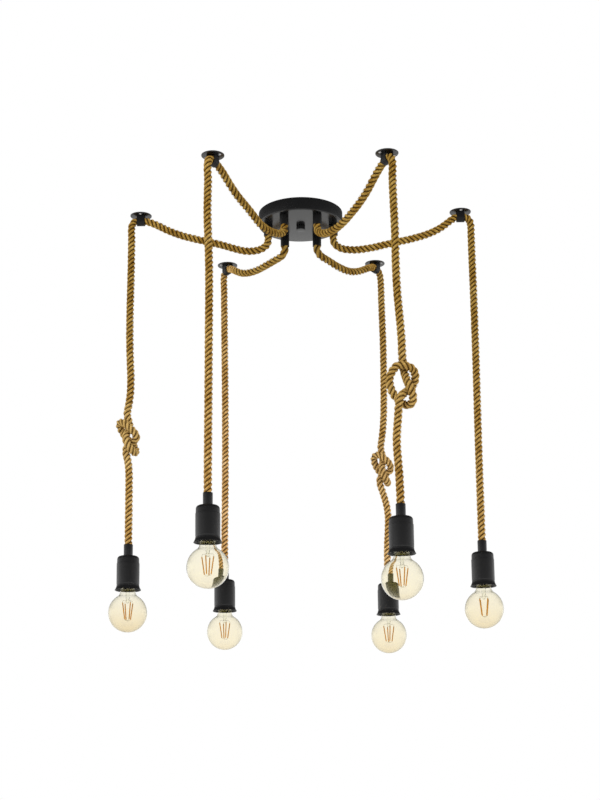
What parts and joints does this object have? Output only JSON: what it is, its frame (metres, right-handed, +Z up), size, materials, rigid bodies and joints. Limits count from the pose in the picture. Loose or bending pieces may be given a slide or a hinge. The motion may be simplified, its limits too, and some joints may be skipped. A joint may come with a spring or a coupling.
{
  "type": "cluster pendant light",
  "caption": "Rope cluster pendant light: a round black canopy, ropes that sag out to ceiling hooks and hang down, black lamp cups and clear globe filament bulbs.",
  "frame": {"origin": "centre of the canopy on the ceiling plane", "axes": "+Z up into the ceiling, -Y towards the viewer of the front, +X to the viewer's right"},
  "size_m": [0.8087, 0.7159, 0.912],
  "materials": {
    "black_lacquer": "semi-gloss black",
    "black_steel": "satin black",
    "zinc_steel": "zinc plated",
    "white_plastic": "moulded",
    "hemp_rope": "twisted hemp",
    "black_holder": "matte black",
    "clear_glass": "clear, faint amber",
    "nickel_cap": "nickel plated"
  },
  "bodies": {
    "ceiling_assembly": {"canopy": "black_lacquer", "crossbar": "zinc_steel", "threaded_rod": "zinc_steel", "finial_nut": "black_lacquer", "terminal_block": "white_plastic", "canopy_grip_right": "black_lacquer", "ceiling_hook_right": "black_steel", "rope_run_right": "hemp_rope", "canopy_grip_back_right": "black_lacquer", "ceiling_hook_back_right": "black_steel", "rope_run_back_right": "hemp_rope", "canopy_grip_back_left": "black_lacquer", "ceiling_hook_back_left": "black_steel", "rope_run_back_left": "hemp_rope", "canopy_grip_left": "black_lacquer", "ceiling_hook_left": "black_steel", "rope_run_left": "hemp_rope", "canopy_grip_front_left": "black_lacquer", "ceiling_hook_front_left": "black_steel", "rope_run_front_left": "hemp_rope", "canopy_grip_front_right": "black_lacquer", "ceiling_hook_front_right": "black_steel", "rope_run_front_right": "hemp_rope"},
    "pendant_right": {"rope_drop_right": "hemp_rope", "lamp_grip_right": "black_lacquer", "lamp_cup_right": "black_lacquer", "lampholder_right": "black_holder"},
    "bulb_right": {"bulb_glass_right": "clear_glass", "bulb_base_right": "nickel_cap"},
    "pendant_back_right": {"rope_drop_back_right": "hemp_rope", "lamp_grip_back_right": "black_lacquer", "lamp_cup_back_right": "black_lacquer", "lampholder_back_right": "black_holder"},
    "bulb_back_right": {"bulb_glass_back_right": "clear_glass", "bulb_base_back_right": "nickel_cap"},
    "pendant_back_left": {"rope_drop_back_left": "hemp_rope", "lamp_grip_back_left": "black_lacquer", "lamp_cup_back_left": "black_lacquer", "lampholder_back_left": "black_holder"},
    "bulb_back_left": {"bulb_glass_back_left": "clear_glass", "bulb_base_back_left": "nickel_cap"},
    "pendant_left": {"rope_drop_left": "hemp_rope", "lamp_grip_left": "black_lacquer", "lamp_cup_left": "black_lacquer", "lampholder_left": "black_holder"},
    "bulb_left": {"bulb_glass_left": "clear_glass", "bulb_base_left": "nickel_cap"},
    "pendant_front_left": {"rope_drop_front_left": "hemp_rope", "lamp_grip_front_left": "black_lacquer", "lamp_cup_front_left": "black_lacquer", "lampholder_front_left": "black_holder"},
    "bulb_front_left": {"bulb_glass_front_left": "clear_glass", "bulb_base_front_left": "nickel_cap"},
    "pendant_front_right": {"rope_drop_front_right": "hemp_rope", "lamp_grip_front_right": "black_lacquer", "lamp_cup_front_right": "black_lacquer", "lampholder_front_right": "black_holder"},
    "bulb_front_right": {"bulb_glass_front_right": "clear_glass", "bulb_base_front_right": "nickel_cap"}
  },
  "joints": [
    {"name": "swing_right", "type": "hinge", "parent": "ceiling_assembly", "child": "pendant_right", "pos_m": [0.366, 0, -0.055], "axis": [0, 1, 0], "range_deg": [-15, 15], "deforming": ["rope_drop_right"]},
    {"name": "bulb_out_right", "type": "slide", "parent": "pendant_right", "child": "bulb_right", "axis": [0, 0, -1], "range_m": [0, 0.035]},
    {"name": "swing_back_right", "type": "hinge", "parent": "ceiling_assembly", "child": "pendant_back_right", "pos_m": [0.18675, 0.32346, -0.055], "axis": [-0.866, 0.5, 0], "range_deg": [-15, 15], "deforming": ["rope_drop_back_right"]},
    {"name": "bulb_out_back_right", "type": "slide", "parent": "pendant_back_right", "child": "bulb_back_right", "axis": [0, 0, -1], "range_m": [0, 0.035]},
    {"name": "swing_back_left", "type": "hinge", "parent": "ceiling_assembly", "child": "pendant_back_left", "pos_m": [-0.1805, 0.31263, -0.055], "axis": [-0.866, -0.5, 0], "range_deg": [-15, 15], "deforming": ["rope_drop_back_left"]},
    {"name": "bulb_out_back_left", "type": "slide", "parent": "pendant_back_left", "child": "bulb_back_left", "axis": [0, 0, -1], "range_m": [0, 0.035]},
    {"name": "swing_left", "type": "hinge", "parent": "ceiling_assembly", "child": "pendant_left", "pos_m": [-0.3635, 0, -0.055], "axis": [0, -1, 0], "range_deg": [-15, 15], "deforming": ["rope_drop_left"]},
    {"name": "bulb_out_left", "type": "slide", "parent": "pendant_left", "child": "bulb_left", "axis": [0, 0, -1], "range_m": [0, 0.035]},
    {"name": "swing_front_left", "type": "hinge", "parent": "ceiling_assembly", "child": "pendant_front_left", "pos_m": [-0.1805, -0.31263, -0.055], "axis": [0.866, -0.5, 0], "range_deg": [-15, 15], "deforming": ["rope_drop_front_left"]},
    {"name": "bulb_out_front_left", "type": "slide", "parent": "pendant_front_left", "child": "bulb_front_left", "axis": [0, 0, -1], "range_m": [0, 0.035]},
    {"name": "swing_front_right", "type": "hinge", "parent": "ceiling_assembly", "child": "pendant_front_right", "pos_m": [0.181, -0.3135, -0.055], "axis": [0.866, 0.5, 0], "range_deg": [-15, 15], "deforming": ["rope_drop_front_right"]},
    {"name": "bulb_out_front_right", "type": "slide", "parent": "pendant_front_right", "child": "bulb_front_right", "axis": [0, 0, -1], "range_m": [0, 0.035]}
  ]
}
